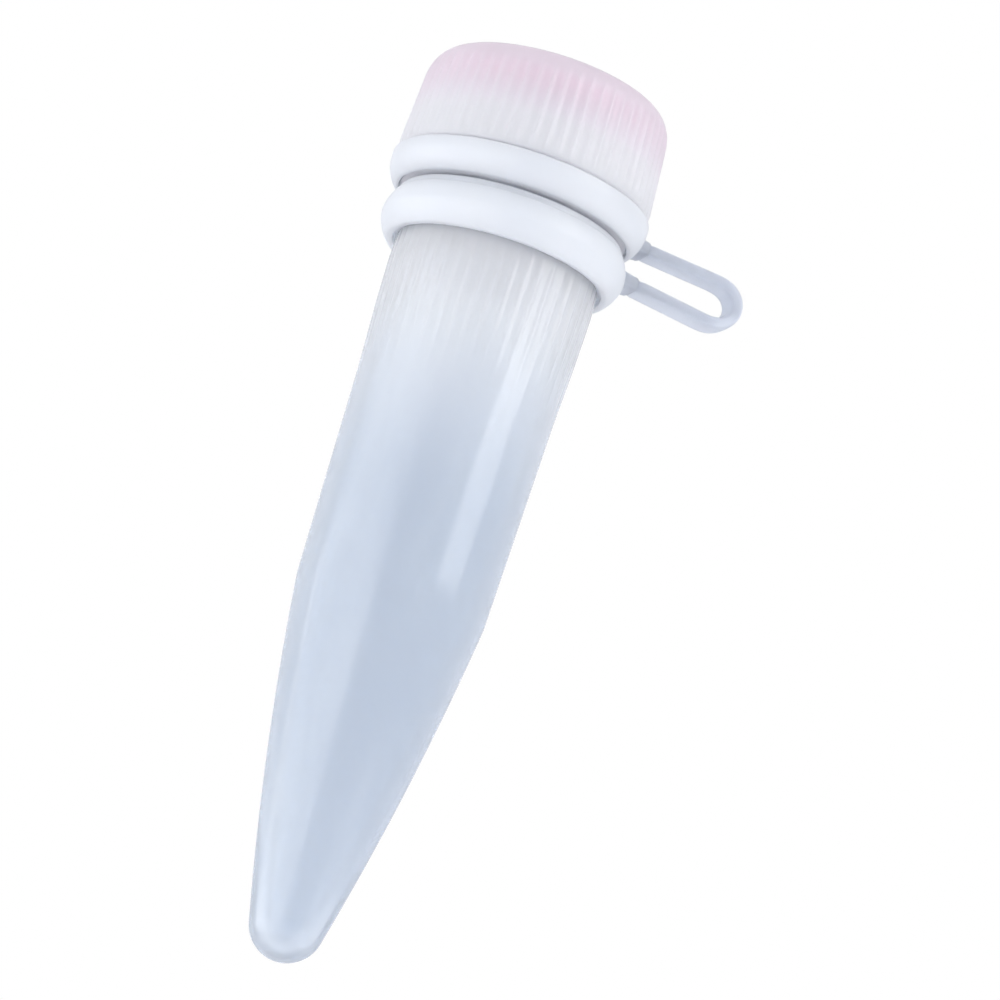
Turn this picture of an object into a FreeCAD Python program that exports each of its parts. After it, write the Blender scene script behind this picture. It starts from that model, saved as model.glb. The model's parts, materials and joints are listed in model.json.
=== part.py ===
"""Screw-cap microcentrifuge tube, 1.5 mL, with a cap that stays on by a looped strap.

The object hangs upright: +Z runs up the tube's axis and the strap stands out along +X.
The origin is on the axis, in the plane of the flat underside of the neck ring, which is
the face that sits on a rack. Lengths are millimetres.

Pieces: the tube, the screw cap, the sealing ring between them, and the strap moulding,
which is a ring snapped round the tube's neck, a ring snapped round the cap's skirt and
the two halves of the loop that joins them.
"""

import FreeCAD
import Part
import Sketcher

import math
import os

doc = FreeCAD.newDocument("microtube")

SIZES = {
    # tube; the neck's diameter is the one that the other diameters are built out from
    "neck_root_dia": 9.1,  # at the root of the thread
    "neck_wall": 0.8,
    "neck_height": 8.0,  # rack face up to the neck's rim
    "rim_round": 0.2,
    "tube_depth": 36.25,  # rack face down to the bottom of the tip
    "shoulder_width": 0.4,  # the step that carries the neck ring
    "shoulder_height": 0.25,  # rack face up to that step
    "wall": 0.85,
    "wall_taper": 0.4,  # how much the straight wall narrows down to the cone
    "cone_height": 18.6,  # tip up to where the cone meets the straight wall
    "cone_curve": 150.0,  # radius of the cone's slightly bulged outline
    "tip_round": 1.85,  # outside radius of the tip
    "floor_wall": 1.2,  # plastic under the lowest point of the bore
    "floor_round": 0.8,  # inside radius of the tip
    # ribs under the neck ring
    "grip_ribs": 48,
    "grip_rib_top": 0.85,  # below the rack face
    "grip_rib_length": 6.5,
    "grip_rib_height": 0.12,
    "grip_rib_width": 0.34,
    # screw thread, right-handed, single start
    "thread_pitch": 2.0,
    "thread_depth": 0.4,
    "thread_base": 1.1,  # ridge width at its root
    "thread_crest": 0.55,
    "thread_gap": 0.1,  # radial clearance at root and crest
    "thread_lead": 0.29,  # plain neck between the snap bead and the thread
    # neck ring
    "neck_ring_height": 2.18,
    "neck_ring_wall": 1.42,  # at the middle of its bulged side
    "neck_ring_top_wall": 1.05,
    "neck_ring_curve": 1.9,  # radius of its bulged side
    "neck_ring_face_width": 0.35,  # its flat underside, which sits on a rack
    "lip_height": 0.35,  # the neck ring's low lip under the cap's foot
    "lip_wall": 0.7,
    "snap": 0.2,  # how far each snap bead stands out
    "bead_height": 0.4,
    "ring_gap": 0.08,  # running clearance of each ring
    # cap
    "cap_gap": 0.5,  # between the neck ring and the cap
    "cap_wall": 1.35,  # at the foot of its ribbed side
    "cap_taper": 0.35,  # how much that side narrows to the top
    "cap_shoulder": 1.35,
    "cap_roof": 0.85,
    "dish_rim": 2.3,  # width of the rim round the shallow dish in the top
    "dish_depth": 0.25,
    "spigot_wall": 0.55,  # the skirt's foot, which the cap ring turns on
    "plug_gap": 0.25,  # between the plug and the neck's bore
    "plug_length": 1.6,
    "plug_wall": 0.8,
    "cap_ribs": 60,
    "cap_rib_height": 0.12,
    "cap_rib_width": 0.36,
    # cap ring
    "cap_ring_height": 1.6,
    "cap_ring_wall": 0.92,
    "cap_ring_round_height": 1.2,  # its rounded lower edge
    "cap_ring_round_depth": 0.6,
    # sealing ring
    "seal_section": 0.9,
    "seal_gap": 0.06,
    # looped strap
    "strap_thick": 0.65,
    "strap_width": 1.6,
    "strap_length": 5.4,  # roots out to the middle of the loop's end
    "loop_round": 1.08,  # radius of the loop's end, at the strap's middle
    "loop_droop": 0.185,  # how far the loop's end hangs below the middle of its two roots
    "root_stand": 0.45,  # cap ring's side out to the strap's two roots
    "low_root_drop": 0.36,  # the root on the neck ring, below the ring's top
    "high_root_rise": 1.07,  # the root on the cap ring, above the ring's foot
    "lug_thick": 0.85,
    "root_gap": 0.05,  # round the root on the neck ring
    "bend_gap": 0.1,  # between the halves of the loop
}

sheet = doc.addObject("Spreadsheet::Sheet", "sizes")
for row, (alias, value) in enumerate(SIZES.items(), 1):
    sheet.set("A%d" % row, alias)
    sheet.set("B%d" % row, str(value))
    sheet.setAlias("B%d" % row, alias)
doc.recompute()


class Size:
    """A length together with the spreadsheet formula that it follows."""

    def __init__(self, value, formula):
        self.value = value
        self.formula = formula

    def __add__(self, other):
        other = as_size(other)
        return Size(self.value + other.value, "(%s + %s)" % (self.formula, other.formula))

    def __sub__(self, other):
        other = as_size(other)
        return Size(self.value - other.value, "(%s - %s)" % (self.formula, other.formula))

    def __mul__(self, other):
        other = as_size(other)
        return Size(self.value * other.value, "(%s * %s)" % (self.formula, other.formula))

    def __truediv__(self, other):
        other = as_size(other)
        return Size(self.value / other.value, "(%s / %s)" % (self.formula, other.formula))

    def __neg__(self):
        return Size(-self.value, "(0 - %s)" % self.formula)

    def root(self):
        return Size(math.sqrt(self.value), "sqrt(%s)" % self.formula)


def as_size(number):
    return number if isinstance(number, Size) else Size(float(number), repr(float(number)))


def cell(alias):
    """A driving dimension of the spreadsheet."""
    return Size(float(SIZES[alias]), "sizes.%s" % alias)


# ---------------------------------------------------------------- sketch helpers


def arc_centre(start, end, rule, side):
    """Centre of the arc from start to end: rule is ("radius", r), ("x", x) or ("y", y), and
    side is 1 where the centre lies left of the way from start to end, and -1 where right."""
    (x0, y0), (x1, y1) = start, end
    mx, my = (x0 + x1) / 2, (y0 + y1) / 2
    chord = math.hypot(x1 - x0, y1 - y0)
    nx, ny = -(y1 - y0) / chord, (x1 - x0) / chord
    kind, size = rule
    if kind == "radius":
        along = side * math.sqrt(max(size.value**2 - chord**2 / 4, 0.0))
    elif kind == "x":
        along = (size.value - mx) / nx
    else:
        along = (size.value - my) / ny
    return mx + along * nx, my + along * ny


def bind(sketch, constraint, size):
    """Adds a dimension to the sketch and ties it to the size's formula."""
    index = sketch.addConstraint(constraint)
    sketch.setExpression("Constraints[%d]" % index, size.formula)


def outline(body, name, points, arcs=None, plane="XZ_Plane"):
    """A closed sketch on one of the body's own planes. points are (x, y) pairs of sizes, with
    a plain 0 for a point on an axis. arcs maps an edge's number, counted from its first
    point, to (rule, side, turn), where turn is 1 for an anticlockwise arc and -1 otherwise."""
    arcs = arcs or {}
    sketch = body.newObject("Sketcher::SketchObject", name)
    origin_plane = next(o for o in body.Origin.OriginFeatures if o.Role == plane)
    sketch.AttachmentSupport = [(origin_plane, "")]
    sketch.MapMode = "FlatFace"
    spots = [(as_size(x).value, as_size(y).value) for x, y in points]
    ends = []
    for i, start in enumerate(spots):
        end = spots[(i + 1) % len(spots)]
        if i in arcs:
            rule, side, turn = arcs[i]
            cx, cy = arc_centre(start, end, rule, side)
            radius = math.hypot(start[0] - cx, start[1] - cy)
            first = math.atan2(start[1] - cy, start[0] - cx)
            last = math.atan2(end[1] - cy, end[0] - cx)
            circle = Part.Circle(FreeCAD.Vector(cx, cy, 0), FreeCAD.Vector(0, 0, 1), radius)
            span = (first, last) if turn > 0 else (last, first)
            sketch.addGeometry(Part.ArcOfCircle(circle, *span))
            ends.append((1, 2) if turn > 0 else (2, 1))
        else:
            sketch.addGeometry(
                Part.LineSegment(FreeCAD.Vector(*start, 0), FreeCAD.Vector(*end, 0))
            )
            ends.append((1, 2))
    count = len(points)
    for i in range(count):
        after = (i + 1) % count
        sketch.addConstraint(
            Sketcher.Constraint("Coincident", i, ends[i][1], after, ends[after][0])
        )
    for i, (x, y) in enumerate(points):
        for size, direction, axis in ((x, "DistanceX", -2), (y, "DistanceY", -1)):
            if isinstance(size, Size):
                constraint = Sketcher.Constraint(direction, -1, 1, i, ends[i][0], size.value)
                bind(sketch, constraint, size)
            else:
                sketch.addConstraint(Sketcher.Constraint("PointOnObject", i, ends[i][0], axis))
    for i, (rule, _, _) in arcs.items():
        kind, size = rule
        if kind == "radius":
            bind(sketch, Sketcher.Constraint("Radius", i, size.value), size)
        else:
            direction = "DistanceX" if kind == "x" else "DistanceY"
            bind(sketch, Sketcher.Constraint(direction, -1, 1, i, 3, size.value), size)
    return sketch


def new_body(label):
    body = doc.addObject("PartDesign::Body", label)
    body.Label = label
    return body


def turned(body, kind, name, sketch):
    """A Revolution or Groove of the sketch, all the way round the tube's axis."""
    feature = body.newObject("PartDesign::" + kind, name)
    feature.Profile = sketch
    feature.ReferenceAxis = (sketch, ["V_Axis"])
    feature.Angle = 360.0
    doc.recompute()
    return feature


def slab(body, name, sketch, width):
    """A Pad of a sketch on the XZ plane, half of its width on each side of it."""
    pad = body.newObject("PartDesign::Pad", name)
    pad.Profile = sketch
    pad.setExpression("Length", width.formula)
    pad.Midplane = True
    doc.recompute()
    return pad


def all_round(body, name, feature, count):
    """Copies of a feature, evenly spaced round the tube's axis."""
    pattern = body.newObject("PartDesign::PolarPattern", name)
    pattern.Originals = [feature]
    pattern.Axis = (next(o for o in body.Origin.OriginFeatures if o.Role == "Z_Axis"), [""])
    pattern.Angle = 360.0
    pattern.setExpression("Occurrences", count.formula)
    body.Tip = pattern
    doc.recompute()
    return pattern


def ridge(body, name, root, outward, start, turns):
    """A thread ridge on a cylinder of radius root, standing outward or inward."""
    way = 1 if outward else -1
    sunk = cell("thread_depth") / 4  # keeps the ridge rooted in the wall
    foot = root - sunk * way
    top = root + cell("thread_depth") * way
    base = cell("thread_base") / 2
    crest = cell("thread_crest") / 2
    flank = [(foot, start - base), (root, start - base), (top, start - crest)]
    back = [(top, start + crest), (root, start + base), (foot, start + base)]
    sketch = outline(body, name + "_outline", flank + back)
    helix = body.newObject("PartDesign::AdditiveHelix", name)
    helix.Profile = sketch
    helix.ReferenceAxis = (sketch, ["V_Axis"])
    helix.Mode = "pitch-turns-angle"
    helix.setExpression("Pitch", cell("thread_pitch").formula)
    helix.setExpression("Turns", turns.formula)
    helix.Angle = 0.0
    helix.LeftHanded = False
    doc.recompute()
    return helix


# ---------------------------------------------------------------- shared places

# radii, from the neck outwards
neck_root = cell("neck_root_dia") / 2
neck_bore = neck_root - cell("neck_wall")
plug = neck_bore - cell("plug_gap")
neck_bead = neck_root + cell("thread_depth")
cap_root = neck_bead + cell("thread_gap")
ring_track = neck_bead - cell("snap")
tube_top = ring_track + cell("shoulder_width")
tube_low = tube_top - cell("wall_taper")
neck_ring_bore = ring_track + cell("ring_gap")
neck_ring_top_side = neck_ring_bore + cell("neck_ring_top_wall")
spigot = cap_root + cell("spigot_wall")
spigot_bead = spigot + cell("snap")
cap_ring_bore = spigot + cell("ring_gap")
cap_ring_side = cap_ring_bore + cell("cap_ring_wall")

# heights, from the rack face upwards
rim = cell("neck_height")
cone_top = cell("cone_height") - cell("tube_depth")
neck_ring_top = cell("neck_ring_height")
bead_low = neck_ring_top + cell("ring_gap")
bead_high = bead_low + cell("bead_height")
cap_bottom = neck_ring_top + cell("cap_gap")
skirt_foot = cap_bottom + cell("cap_ring_height") + cell("ring_gap")
ceiling = rim + cell("seal_section") + cell("seal_gap") * 2
cap_top = ceiling + cell("cap_roof")
thread_start = bead_high + cell("thread_lead") + cell("thread_base") / 2
thread_end = rim - cell("rim_round") - cell("thread_base") / 2
tube_turns = (thread_end - thread_start) / cell("thread_pitch")
cap_turns = tube_turns - 0.5  # it starts half a turn higher and ends level

# the strap, in the XZ plane
strap_half = cell("strap_thick") / 2
root_reach = cap_ring_side + cell("root_stand")
loop_reach = root_reach + cell("strap_length")
bend_start = loop_reach - cell("loop_round")
low_root = neck_ring_top - cell("low_root_drop")
high_root = cap_bottom + cell("high_root_rise")
loop_middle = (low_root + high_root) / 2 - cell("loop_droop")


# ---------------------------------------------------------------- tube


def tube():
    """Tapered tube with a conical foot, a shoulder and bead for the neck ring, and a thread."""
    body = new_body("tube_body")
    tip = -cell("tube_depth")
    shoulder = cell("shoulder_height")
    soft = cell("rim_round")
    # where the tip's round meets the cone: a third of the way round its side
    tip_side = cell("tip_round") * 0.978
    tip_rise = tip + cell("tip_round") * 0.792
    outside = [
        (0, tip),
        (tip_side, tip_rise),
        (tube_low, cone_top),
        (tube_top, shoulder - soft / 2),
        (tube_top - soft / 2, shoulder),
        (ring_track, shoulder),
        (ring_track, bead_low),
        (neck_bead, bead_low),
        (neck_bead, bead_high - soft),
        (neck_root, bead_high),
        (neck_root, rim - soft),
        (neck_root - soft, rim),
        (0, rim),
    ]
    rounds = {
        0: (("y", tip + cell("tip_round")), 1, 1),
        1: (("radius", cell("cone_curve")), 1, 1),
        10: (("x", neck_root - soft), 1, 1),
    }
    turned(body, "Revolution", "tube_outside", outline(body, "tube_outline", outside, rounds))

    floor = tip + cell("floor_wall")
    bore_low = tube_low - cell("wall")
    bore_top = tube_top - cell("wall")
    bottom_side = cell("floor_round") * 0.985
    bottom_rise = floor + cell("floor_round") * 0.826
    inside = [
        (0, floor),
        (bottom_side, bottom_rise),
        (bore_low, cone_top),
        (bore_top, -cell("wall")),
        (neck_bore, shoulder),
        (neck_bore, rim - soft),
        (neck_bore + soft, rim),
        (neck_bore + soft, rim + soft),
        (0, rim + soft),
    ]
    rounds = {
        0: (("y", floor + cell("floor_round")), 1, 1),
        1: (("radius", cell("cone_curve")), 1, 1),
    }
    turned(body, "Groove", "bore", outline(body, "bore_outline", inside, rounds))

    ridge(body, "tube_thread", neck_root, True, thread_start, tube_turns)

    # grip rib: its crest follows the wall's taper and sinks into the wall at the foot
    taper = (tube_top - tube_low) / (shoulder - soft / 2 - cone_top)
    rib_top = -cell("grip_rib_top")
    rib_foot = rib_top - cell("grip_rib_length")
    crest_top = tube_top - taper * (shoulder - soft / 2 - rib_top) + cell("grip_rib_height")
    crest_foot = tube_top - taper * (shoulder - soft / 2 - rib_foot)
    rooted = cell("wall") / 4
    rib = [
        (crest_top - cell("grip_rib_height") - rooted, rib_top),
        (crest_foot - rooted, rib_foot),
        (crest_foot, rib_foot),
        (crest_top, rib_top - cell("grip_rib_height")),
        (crest_top - cell("grip_rib_height"), rib_top),
    ]
    first = slab(body, "grip_rib", outline(body, "rib_outline", rib), cell("grip_rib_width"))
    all_round(body, "all_grip_ribs", first, cell("grip_ribs"))
    return body


# ---------------------------------------------------------------- cap


def cap():
    """Ribbed cap with a dished top, a hollow plug, a foot for the cap ring and a thread."""
    body = new_body("screw_cap")
    low = cap_root + cell("cap_wall")
    high = low - cell("cap_taper")
    turn = cell("cap_shoulder")
    dish = high - cell("dish_rim")
    outside = [
        (0, cap_bottom),
        (spigot, cap_bottom),
        (spigot_bead, cap_bottom + cell("bead_height") / 4),
        (spigot_bead, cap_bottom + cell("bead_height") / 2),
        (spigot, cap_bottom + cell("bead_height")),
        (spigot, skirt_foot),
        (low, skirt_foot),
        (high, cap_top - turn),
        (high - turn, cap_top),
        (dish, cap_top),
        (dish - cell("dish_depth"), cap_top - cell("dish_depth")),
        (0, cap_top - cell("dish_depth")),
    ]
    rounds = {7: (("x", high - turn), 1, 1)}
    turned(body, "Revolution", "cap_outside", outline(body, "cap_outline", outside, rounds))

    plug_end = ceiling - cell("plug_length")
    hollow = plug - cell("plug_wall")
    inside = [
        (0, cap_bottom - cell("snap")),
        (cap_root, cap_bottom - cell("snap")),
        (cap_root, ceiling),
        (plug, ceiling),
        (plug, plug_end + cell("snap")),
        (plug - cell("snap"), plug_end),
        (hollow, plug_end),
        (hollow, ceiling - cell("snap")),
        (0, ceiling - cell("snap")),
    ]
    turned(body, "Groove", "cap_inside", outline(body, "cap_inside_outline", inside))

    start = thread_start + cell("thread_pitch") / 2
    ridge(body, "cap_thread", cap_root, False, start, cap_turns)

    # finger rib along the cap's tapered side
    height = cell("cap_rib_height")
    rib_foot = skirt_foot + height * 2
    rib_top = cap_top - turn
    slope = (low - high) / (rib_top - skirt_foot)
    rooted = height * 3
    rib = [
        (low - slope * (rib_foot - skirt_foot) - rooted, rib_foot),
        (low - slope * (rib_foot - skirt_foot), rib_foot),
        (low - slope * (rib_foot - skirt_foot) + height, rib_foot + height),
        (high + height, rib_top - height),
        (high, rib_top + height),
        (high - rooted, rib_top),
    ]
    first = slab(body, "finger_rib", outline(body, "finger_rib_outline", rib), cell("cap_rib_width"))
    all_round(body, "all_finger_ribs", first, cell("cap_ribs"))
    return body


# ---------------------------------------------------------------- sealing ring


def seal():
    """Round rubber ring between the neck's rim and the cap's ceiling."""
    ring = doc.addObject("Part::Torus", "o_ring")
    ring.Label = "o_ring"
    section = cell("seal_section") / 2
    ring.setExpression("Radius1", ((plug + cap_root) / 2).formula)
    ring.setExpression("Radius2", section.formula)
    height = rim + cell("seal_gap") + section
    ring.setExpression("Placement.Base.z", height.formula)
    return ring


# ---------------------------------------------------------------- strap moulding


def lug(body, name, inner, root_height):
    """Block on a ring, hollowed at its end for the round root of the strap."""
    socket = strap_half + cell("root_gap")
    # the hollow's lips lie on the socket's circle, 3 across for every 4 up
    face = root_reach - socket * 0.6
    edge = socket * 0.8
    half = cell("lug_thick") / 2
    corners = [
        (inner, root_height - half),
        (face, root_height - half),
        (face, root_height - edge),
        (face, root_height + edge),
        (face, root_height + half),
        (inner, root_height + half),
    ]
    rounds = {2: (("x", root_reach), -1, -1)}
    sketch = outline(body, name + "_outline", corners, rounds)
    return slab(body, name, sketch, cell("strap_width"))


def neck_ring():
    """Ring that is snapped round the neck, over the tube's shoulder."""
    body = new_body("neck_ring")
    face_in = tube_top + cell("grip_rib_height") + cell("ring_gap")
    seat = cell("shoulder_height") + cell("ring_gap")
    lip_bore = neck_bead + cell("ring_gap")
    lip_top = neck_ring_top + cell("lip_height")
    section = [
        (face_in, 0),
        (face_in + cell("neck_ring_face_width"), 0),
        (neck_ring_bore + cell("neck_ring_wall"), neck_ring_top / 2),
        (neck_ring_top_side, neck_ring_top),
        (lip_bore + cell("lip_wall"), neck_ring_top),
        (lip_bore + cell("lip_wall"), lip_top),
        (lip_bore, lip_top),
        (lip_bore, neck_ring_top),
        (neck_ring_bore, neck_ring_top),
        (neck_ring_bore, seat),
        (face_in, seat),
    ]
    bulge = cell("neck_ring_curve")
    rounds = {1: (("radius", bulge), 1, 1), 2: (("radius", bulge), 1, 1)}
    turned(body, "Revolution", "neck_ring_turned", outline(body, "neck_ring_outline", section, rounds))
    inner = neck_ring_top_side - cell("lug_thick") / 2
    lug(body, "neck_ring_lug", inner, low_root)
    return body


def cap_ring():
    """Ring that is snapped round the foot of the cap, which turns in it."""
    body = new_body("cap_ring")
    gap = cell("ring_gap")
    bead_room = spigot_bead + gap
    top = cap_bottom + cell("cap_ring_height")
    round_top = cap_bottom + cell("cap_ring_round_height")
    section = [
        (bead_room, cap_bottom),
        (cap_ring_side - cell("cap_ring_round_depth"), cap_bottom),
        (cap_ring_side, round_top),
        (cap_ring_side, top - gap),
        (cap_ring_side - gap, top),
        (cap_ring_bore, top),
        (cap_ring_bore, cap_bottom + cell("bead_height") + gap),
        (bead_room, cap_bottom + cell("bead_height") / 2 + gap),
    ]
    rounds = {1: (("y", round_top), 1, 1)}
    turned(body, "Revolution", "cap_ring_turned", outline(body, "cap_ring_outline", section, rounds))
    return body


def half_loop(label, root_height, way):
    """Arm of the strap with its half of the loop's end: way is 1 on the neck ring, whose
    half ends in a round, and -1 on the cap ring, whose half is hollowed to turn on it."""
    body = new_body(label)
    level = loop_middle - cell("loop_round") * way
    hollow = strap_half + cell("bend_gap")
    lips = (hollow * hollow - strap_half * strap_half).root()
    end = loop_middle if way > 0 else loop_middle + lips
    path = [
        (root_reach, root_height + strap_half * way),
        (root_reach, root_height - strap_half * way),
        (bend_start, level - strap_half * way),
        (loop_reach + strap_half, end),
        (loop_reach - strap_half, end),
        (bend_start, level + strap_half * way),
    ]
    rounds = {
        0: (("x", root_reach), way, way),
        2: (("x", bend_start), way, way),
        3: (("y", loop_middle), way, 1),
        4: (("x", bend_start), -way, -way),
    }
    slab(body, label + "_slab", outline(body, label + "_outline", path, rounds), cell("strap_width"))
    return body


# ---------------------------------------------------------------- build and write

pieces = [
    tube(),
    cap(),
    seal(),
    neck_ring(),
    cap_ring(),
    half_loop("strap_lower", low_root, 1),
    half_loop("strap_upper", high_root, -1),
]
doc.recompute()

for item in doc.Objects:
    if "Invalid" in item.State or "Error" in item.State:
        raise RuntimeError("%s failed: %s" % (item.Name, item.State))

os.makedirs("parts", exist_ok=True)
for piece in pieces:
    shape = piece.Shape
    if shape.isNull() or not shape.isValid() or len(shape.Solids) != 1:
        raise RuntimeError("%s has no single sound solid" % piece.Label)
    shape.exportStep("parts/%s.step" % piece.Label)
    print("%-12s %9.3f mm3" % (piece.Label, shape.Volume))
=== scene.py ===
# %% [markdown]
# # A screw-cap microtube
#
# This small laboratory tube is three injection mouldings and a rubber ring: a conical tube, a
# cap that screws on it, a sealing ring between them, and a soft strap that keeps the cap with
# the tube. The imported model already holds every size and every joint, so this script only
# makes the looks. It starts by loading that model as a fixed frame.

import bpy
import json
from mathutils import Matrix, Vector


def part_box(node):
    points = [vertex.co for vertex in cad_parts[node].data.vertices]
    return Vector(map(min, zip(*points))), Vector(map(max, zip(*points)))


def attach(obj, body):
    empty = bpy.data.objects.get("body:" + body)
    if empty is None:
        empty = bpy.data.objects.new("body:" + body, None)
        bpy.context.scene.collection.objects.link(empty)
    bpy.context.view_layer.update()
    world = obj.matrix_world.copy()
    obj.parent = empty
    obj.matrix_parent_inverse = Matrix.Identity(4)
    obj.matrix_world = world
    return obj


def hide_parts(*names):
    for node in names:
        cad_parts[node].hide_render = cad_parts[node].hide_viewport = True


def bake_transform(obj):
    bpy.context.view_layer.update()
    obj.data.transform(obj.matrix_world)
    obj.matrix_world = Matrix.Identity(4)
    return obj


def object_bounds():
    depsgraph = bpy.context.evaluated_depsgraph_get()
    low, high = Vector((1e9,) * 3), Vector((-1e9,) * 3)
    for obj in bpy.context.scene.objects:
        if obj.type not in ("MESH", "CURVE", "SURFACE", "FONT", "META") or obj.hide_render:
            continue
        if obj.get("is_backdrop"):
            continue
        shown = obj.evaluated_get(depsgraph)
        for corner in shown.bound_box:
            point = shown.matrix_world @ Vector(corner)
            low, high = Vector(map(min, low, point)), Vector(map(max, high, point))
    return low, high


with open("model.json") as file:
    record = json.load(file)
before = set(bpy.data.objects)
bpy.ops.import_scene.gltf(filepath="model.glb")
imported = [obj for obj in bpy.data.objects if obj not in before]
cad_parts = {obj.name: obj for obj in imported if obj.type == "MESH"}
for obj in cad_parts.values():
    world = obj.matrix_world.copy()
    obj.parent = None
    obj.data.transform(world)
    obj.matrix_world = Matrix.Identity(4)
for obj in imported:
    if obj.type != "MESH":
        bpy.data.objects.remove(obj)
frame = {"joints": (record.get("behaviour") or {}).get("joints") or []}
cad_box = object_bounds()

# %% Other modules
import json
import math

import bmesh
import bpy
import numpy as np
from mathutils import Matrix, Vector

# %% [markdown]
# ## Sizes
#
# Blender works in metres here. Each piece's place comes from the box of the CAD node that it
# stands for, so nothing has to be fitted by eye. Only what a box can't tell, such as a wall or
# a thread's depth, is written down, in millimetres times MM.

# %% Places and sizes
MM = 0.001
tube_low, tube_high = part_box("tube_body")
cap_low, cap_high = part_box("screw_cap")
seal_low, seal_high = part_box("o_ring")
_, collar_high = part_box("neck_ring")
crown_low, crown_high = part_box("cap_ring")
arm_low, arm_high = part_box("strap_lower")

pivots = {j["name"]: Vector(j["pos_m"]) for j in frame["joints"] if "pos_m" in j}
root = pivots["strap_root"]
bend = pivots["strap_bend"]
print("tube %.1f mm tall, cap %.1f mm across" % (
    (cap_high.z - tube_low.z) / MM, (cap_high.x - cap_low.x) / MM))

# %% [markdown]
# ## A lathe
#
# Everything but the strap is round, so the main tool is a lathe: an outline in radius and
# height is turned about Z. Blender has a Screw modifier for that, but here the radius also has
# to change with the angle, for ribs and threads. So the mesh is made directly: each outline
# point becomes a ring of vertices, and a relief function may push each vertex in or out. Ribs
# and threads are then part of one closed skin, which matters in clear plastic, because a
# separate thread would show its buried faces.

# %% Rounded outlines
def rounded(corners, closed=False, turn=math.radians(9)):
    """Points along (radius, height, fillet) corners, each corner rounded by its fillet."""
    places = [Vector((r, z)) for r, z, _ in corners]
    points = []
    for i, (here, corner) in enumerate(zip(places, corners)):
        inner = closed or 0 < i < len(corners) - 1
        if not inner or corner[2] <= 0:
            points.append(here)
            continue
        before = places[i - 1] - here
        after = places[(i + 1) % len(places)] - here
        half = before.angle(after) / 2
        cut = corner[2] / math.tan(half)
        cut = min(cut, before.length * 0.49, after.length * 0.49)
        start = here + before.normalized() * cut
        end = here + after.normalized() * cut
        centre = here + (before.normalized() + after.normalized()).normalized() * cut / math.cos(half)
        sweep = math.pi - 2 * half
        steps = max(2, math.ceil(sweep / turn))
        first = start - centre
        way = 1 if first.x * (end - centre).y - first.y * (end - centre).x > 0 else -1
        for k in range(steps + 1):
            spin = Matrix.Rotation(way * sweep * k / steps, 2)
            points.append(centre + spin @ first)
    return points


def arc(start, end, radius, steps=24):
    """Points of a bulged line from start to end, without its two ends."""
    start, end = Vector(start), Vector(end)
    chord = end - start
    out = Vector((chord.y, -chord.x)).normalized()
    deep = math.sqrt(radius**2 - chord.length_squared / 4)
    centre = (start + end) / 2 - out * deep
    lean = math.asin(chord.length / 2 / radius)
    first = start - centre
    return [centre + Matrix.Rotation(2 * lean * k / steps, 2) @ first for k in range(1, steps)]


def spaced(points, step):
    """The same line with no stretch longer than step, which may depend on (radius, height)."""
    result = [points[0]]
    for a, b in zip(points, points[1:]):
        middle = (a + b) / 2
        pieces = max(1, math.ceil((b - a).length / step(middle.x, middle.y)))
        result += [a.lerp(b, (k + 1) / pieces) for k in range(pieces)]
    return result


# %% The lathe itself
def lathe(name, points, around, relief=None, closed=False):
    """Mesh object turned about Z. relief(radii, heights, angles) gives what to add to the
    radii. Outline ends on the axis become poles; a closed outline makes a ring."""
    radii = np.array([p.x for p in points])
    heights = np.array([p.y for p in points])
    angles = np.arange(around) * 2 * math.pi / around
    grid_r = np.repeat(radii[:, None], around, 1)
    if relief:
        grid_r = grid_r + relief(grid_r, heights[:, None], angles[None, :])
    rings, verts = [], []
    for i, height in enumerate(heights):
        if radii[i] < 1e-7:
            rings.append([len(verts)] * around)
            verts.append((0.0, 0.0, height))
        else:
            rings.append(list(range(len(verts), len(verts) + around)))
            x = grid_r[i] * np.cos(angles)
            y = grid_r[i] * np.sin(angles)
            verts += list(zip(x, y, [height] * around))
    faces = []
    rows = len(rings) if closed else len(rings) - 1
    for i in range(rows):
        low, high = rings[i], rings[(i + 1) % len(rings)]
        for k in range(around):
            after = (k + 1) % around
            corners = list(dict.fromkeys([low[k], low[after], high[after], high[k]]))
            if len(corners) > 2:
                faces.append(corners)
    mesh = bpy.data.meshes.new(name)
    mesh.from_pydata(verts, [], faces)
    mesh.update()
    piece = bpy.data.objects.new(name, mesh)
    bpy.context.scene.collection.objects.link(piece)
    finish_skin(piece)
    return piece


def finish_skin(piece, sharp=50):
    """Smooth shading with sharp edges kept, normals outward, and a line on what was made."""
    mesh = piece.data
    work = bmesh.new()
    work.from_mesh(mesh)
    if work.calc_volume(signed=True) < 0:
        bmesh.ops.reverse_faces(work, faces=work.faces)
    volume = work.calc_volume()
    loose = sum(len(edge.link_faces) != 2 for edge in work.edges)
    work.to_mesh(mesh)
    work.free()
    mesh.polygons.foreach_set("use_smooth", [True] * len(mesh.polygons))
    mesh.set_sharp_from_angle(angle=math.radians(sharp))
    print("%s: %d faces, %.2f mm3, %d open edges" % (
        piece.name, len(mesh.polygons), volume / MM**3, loose))


def ease(x):
    """0 below 0, 1 above 1 and a smooth step between."""
    x = np.clip(x, 0, 1)
    return x * x * (3 - 2 * x)


# %% [markdown]
# ## Ribs and thread
#
# A moulded rib is a soft wave round the wall that dies out at its ends. The thread is a
# single-start helix: at any angle its ridge lies at a height that grows by one pitch a turn.
# Both are formulas of angle and height, so they stay exact however fine the mesh is.

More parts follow.
